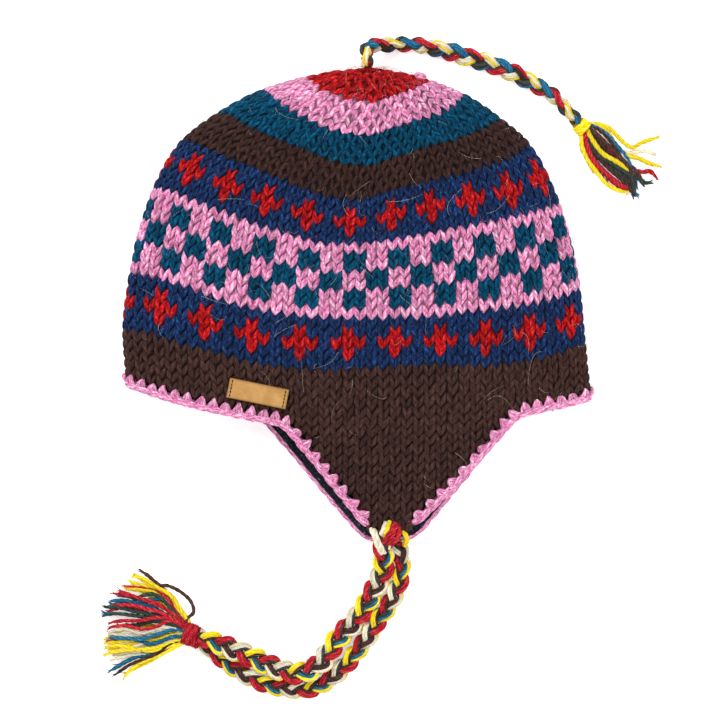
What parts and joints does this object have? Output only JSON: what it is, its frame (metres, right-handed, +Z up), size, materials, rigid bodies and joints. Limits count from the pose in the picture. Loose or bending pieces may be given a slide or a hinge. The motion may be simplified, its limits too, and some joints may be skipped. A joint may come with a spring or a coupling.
{
  "type": "knitted chullo hat",
  "caption": "Hand-knitted chullo hat with ear flaps, patterned wool bands, pink crochet edging, fleece lining, braided ties and a braided top cord with tassels, lying flat.",
  "frame": {"origin": "bottom middle of the hat without its cords, on the surface that it lies on", "axes": "+X across the hat from the front fold to the back fold, +Y from the flap tips to the crown, +Z up from the surface through the lying hat"},
  "size_m": [0.3368, 0.4011, 0.06],
  "materials": {
    "knitted_wool": "thick hand-spun wool, knitted",
    "fleece": "short matt fleece",
    "pink_wool": "thick hand-spun wool, crocheted",
    "leather": "smooth tan leather, stitched down",
    "braid_wool": "plied wool yarns of many colours, braided",
    "yellow_wool": "wound wool yarn",
    "red_wool": "wound wool yarn",
    "tassel_wool": "loose plied wool yarns of many colours"
  },
  "bodies": {
    "root": {"knitted_shell": "knitted_wool", "fleece_lining": "fleece", "crochet_edging": "pink_wool", "label_patch": "leather", "crown_braid": "braid_wool", "crown_wrap": "yellow_wool", "crown_tassel": "tassel_wool", "near_tie_braid": "braid_wool", "near_tie_wrap": "red_wool", "near_tie_tassel": "tassel_wool", "far_tie_braid": "braid_wool", "far_tie_wrap": "red_wool", "far_tie_tassel": "tassel_wool"}
  },
  "joints": []
}
